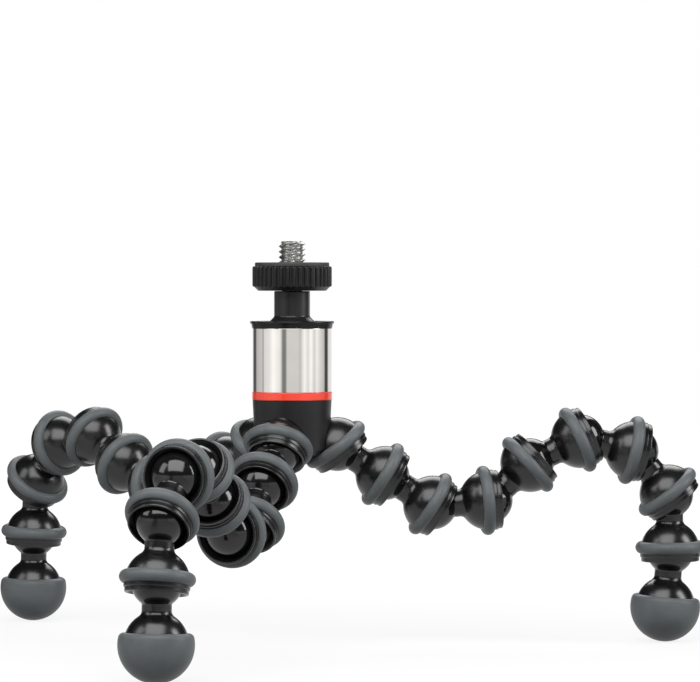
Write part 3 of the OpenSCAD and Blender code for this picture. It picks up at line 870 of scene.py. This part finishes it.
def wheel_row(height):
    """One row of points round the wheel: the chamfer below, and the ribs with their sloped ends."""
    slope = share_of(height - WHEEL_UNDER, WHEEL_CHAMFER)
    core = WHEEL_UNDER_R + slope * (WHEEL_CORE - WHEEL_UNDER_R)
    end = share_of(min(height - WHEEL_LOW, WHEEL_TOP - height), RIB_END)
    rise = math.sqrt(1 - (1 - end) ** 2)
    across = range(RIBS * RIB_POINTS)
    return [(core + rib_height(i % RIB_POINTS / RIB_POINTS) * rise, height) for i in across]


levels = [WHEEL_UNDER, WHEEL_UNDER + UNDER_HOLD, WHEEL_LOW - LOW_HOLD, WHEEL_LOW]
levels += [WHEEL_LOW + RIB_END * i / RIB_END_STEPS for i in range(1, RIB_END_STEPS + 1)]
levels += [WHEEL_TOP - RIB_END * i / RIB_END_STEPS for i in range(RIB_END_STEPS, -1, -1)]
wheel_rows = [[(WHEEL_HOLE, WHEEL_UNDER)] * (RIBS * RIB_POINTS)]
wheel_rows += [wheel_row(level) for level in levels]
wheel_rows += [[(WHEEL_HOLE, WHEEL_TOP)] * (RIBS * RIB_POINTS)]
wheel_mesh = skin("wheel", wheel_rows, [wheel_black], closed=True, sharp=WHEEL_SHARP)
place("wheel_grip", wheel_mesh, AXIS, "thumb_wheel", ["thumb_wheel"])
print("wheel faces:", len(wheel_mesh.polygons))

# %% [markdown]
# What stands on the tripod rests on a thin rubber pad on top of the wheel. It is a flat ring with
# soft upper edges, so a spun outline of four corners is all it needs.

# %% Pad
PAD_R, PAD_HOLE = 8.8, 4.1
PAD_LOW, PAD_TOP = heights("wheel_pad")
pad = [(PAD_HOLE, PAD_LOW, 0), (PAD_R, PAD_LOW, 0.1), (PAD_R, PAD_TOP, 0.35), (PAD_HOLE, PAD_TOP, 0.2)]
pad_mesh = spin("pad", rounded(pad, closed=True), [pad_rubber], closed=True, turns=FINE_TURNS)
place("pad_disc", pad_mesh, AXIS, "thumb_wheel", ["wheel_pad"])
print("pad faces:", len(pad_mesh.polygons))

# %% [markdown]
# The screw through the pad has a quarter inch thread with twenty turns to the inch. A thread cut
# by a swept shape is slow and often leaves holes, so it is a skin as well: at each height and turn
# the radius follows a V that climbs one pitch per turn, and a cone closes the tip. Below it are
# the flange in the wheel, the shank and the groove for the clip.

# %% Screw
THREAD_R, THREAD_PITCH, THREAD_DEPTH, THREAD_TIP = 3.175, 1.27, 0.75, 0.6
FLANK, CREST = 2.4, 0.1
THREAD_TURNS, THREAD_STEPS = 48, 10
FLANGE_R, FLANGE_DEPTH = 4.6, 1.6
SHANK_R, SHANK_EDGE = 2.4, 0.2
CLIP_GROOVE_R, CLIP_GROOVE_UP, CLIP_GROOVE_H = 1.9, 0.7, 0.6
SCREW_SHARP = 35
SHANK_END, THREAD_TOP = heights("camera_screw")
THREAD_LOW = WHEEL_TOP
FLANGE_BOTTOM = WHEEL_TOP - FLANGE_DEPTH
CLIP_LOW = SHANK_END + CLIP_GROOVE_UP
CLIP_TOP = CLIP_LOW + CLIP_GROOVE_H


def thread_radius(height, turn):
    """The radius at a height and a share of a turn: a V with flat crests, and a cone at the tip."""
    phase = (height / THREAD_PITCH - turn) % 1.0
    groove = max(min(1.0, abs(phase - 0.5) * FLANK) - CREST, 0)
    point = max(1 - (THREAD_TOP - height) / THREAD_TIP, 0)
    return THREAD_R - THREAD_DEPTH * max(groove, point)


shank = [
    (0, SHANK_END), (SHANK_R - SHANK_EDGE, SHANK_END), (SHANK_R, SHANK_END + SHANK_EDGE),
    (SHANK_R, CLIP_LOW), (CLIP_GROOVE_R, CLIP_LOW), (CLIP_GROOVE_R, CLIP_TOP), (SHANK_R, CLIP_TOP),
    (SHANK_R, FLANGE_BOTTOM), (FLANGE_R, FLANGE_BOTTOM), (FLANGE_R, THREAD_LOW),
]
screw_rows = [[point] * THREAD_TURNS for point in shank]
count = round((THREAD_TOP - THREAD_LOW) / THREAD_PITCH * THREAD_STEPS)
for step in range(count + 1):
    level = THREAD_LOW + (THREAD_TOP - THREAD_LOW) * step / count
    screw_rows.append([(thread_radius(level, i / THREAD_TURNS), level) for i in range(THREAD_TURNS)])
screw_rows.append([(0, THREAD_TOP)] * THREAD_TURNS)
screw_mesh = skin("screw", screw_rows, [screw_zinc], sharp=SCREW_SHARP)
place("screw_thread", screw_mesh, AXIS, "thumb_wheel", ["camera_screw"])
print("screw faces:", len(screw_mesh.polygons))

# %% [markdown]
# The seat, the spring washers and the clip are closed in, so their CAD solids stay and only get
# their finishes.

# %% Inner pieces
inner = {"ball_seat": seat_nylon, "spring_washers": spring_steel, "screw_clip": spring_steel}
for node, look in inner.items():
    solid = frame["nodes"][node]
    solid.data.materials.clear()
    solid.data.materials.append(look)
print("inner pieces dressed:", len(inner))
